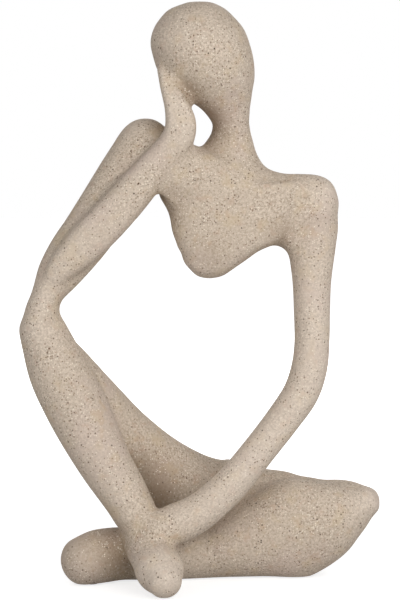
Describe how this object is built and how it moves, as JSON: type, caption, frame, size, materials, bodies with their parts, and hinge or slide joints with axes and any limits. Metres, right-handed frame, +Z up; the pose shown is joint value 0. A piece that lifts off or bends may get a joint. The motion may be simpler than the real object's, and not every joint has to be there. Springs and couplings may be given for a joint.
{
  "type": "thinker statue",
  "caption": "Abstract faceless figure seated cross-legged in thought, one elbow on its raised knee and hand at its cheek, cast in sandstone coloured resin.",
  "frame": {"origin": "on the ground, under the middle of the figure", "axes": "+X towards the figure's left hand side, +Y towards its back, +Z up"},
  "size_m": [0.1625, 0.0915, 0.2597],
  "materials": {
    "sandstone": "matt stone-filled casting resin, beige with fine dark and light specks",
    "steel": "plain steel rod",
    "pad": "dark soft pad"
  },
  "bodies": {
    "root": {"head": "sandstone", "torso": "sandstone", "left_arm": "sandstone", "right_arm": "sandstone", "left_leg": "sandstone", "right_leg": "sandstone", "neck_dowel": "steel", "right_shoulder_dowel": "steel", "left_shoulder_dowel": "steel", "cheek_dowel": "steel", "elbow_dowel": "steel", "hand_dowel": "steel", "hip_dowel": "steel", "ankle_dowel": "steel", "left_arm_core": "steel", "right_forearm_core": "steel", "right_shin_core": "steel", "right_seat_pad": "pad", "left_seat_pad": "pad", "right_foot_pad": "pad", "left_foot_pad": "pad"}
  },
  "joints": []
}
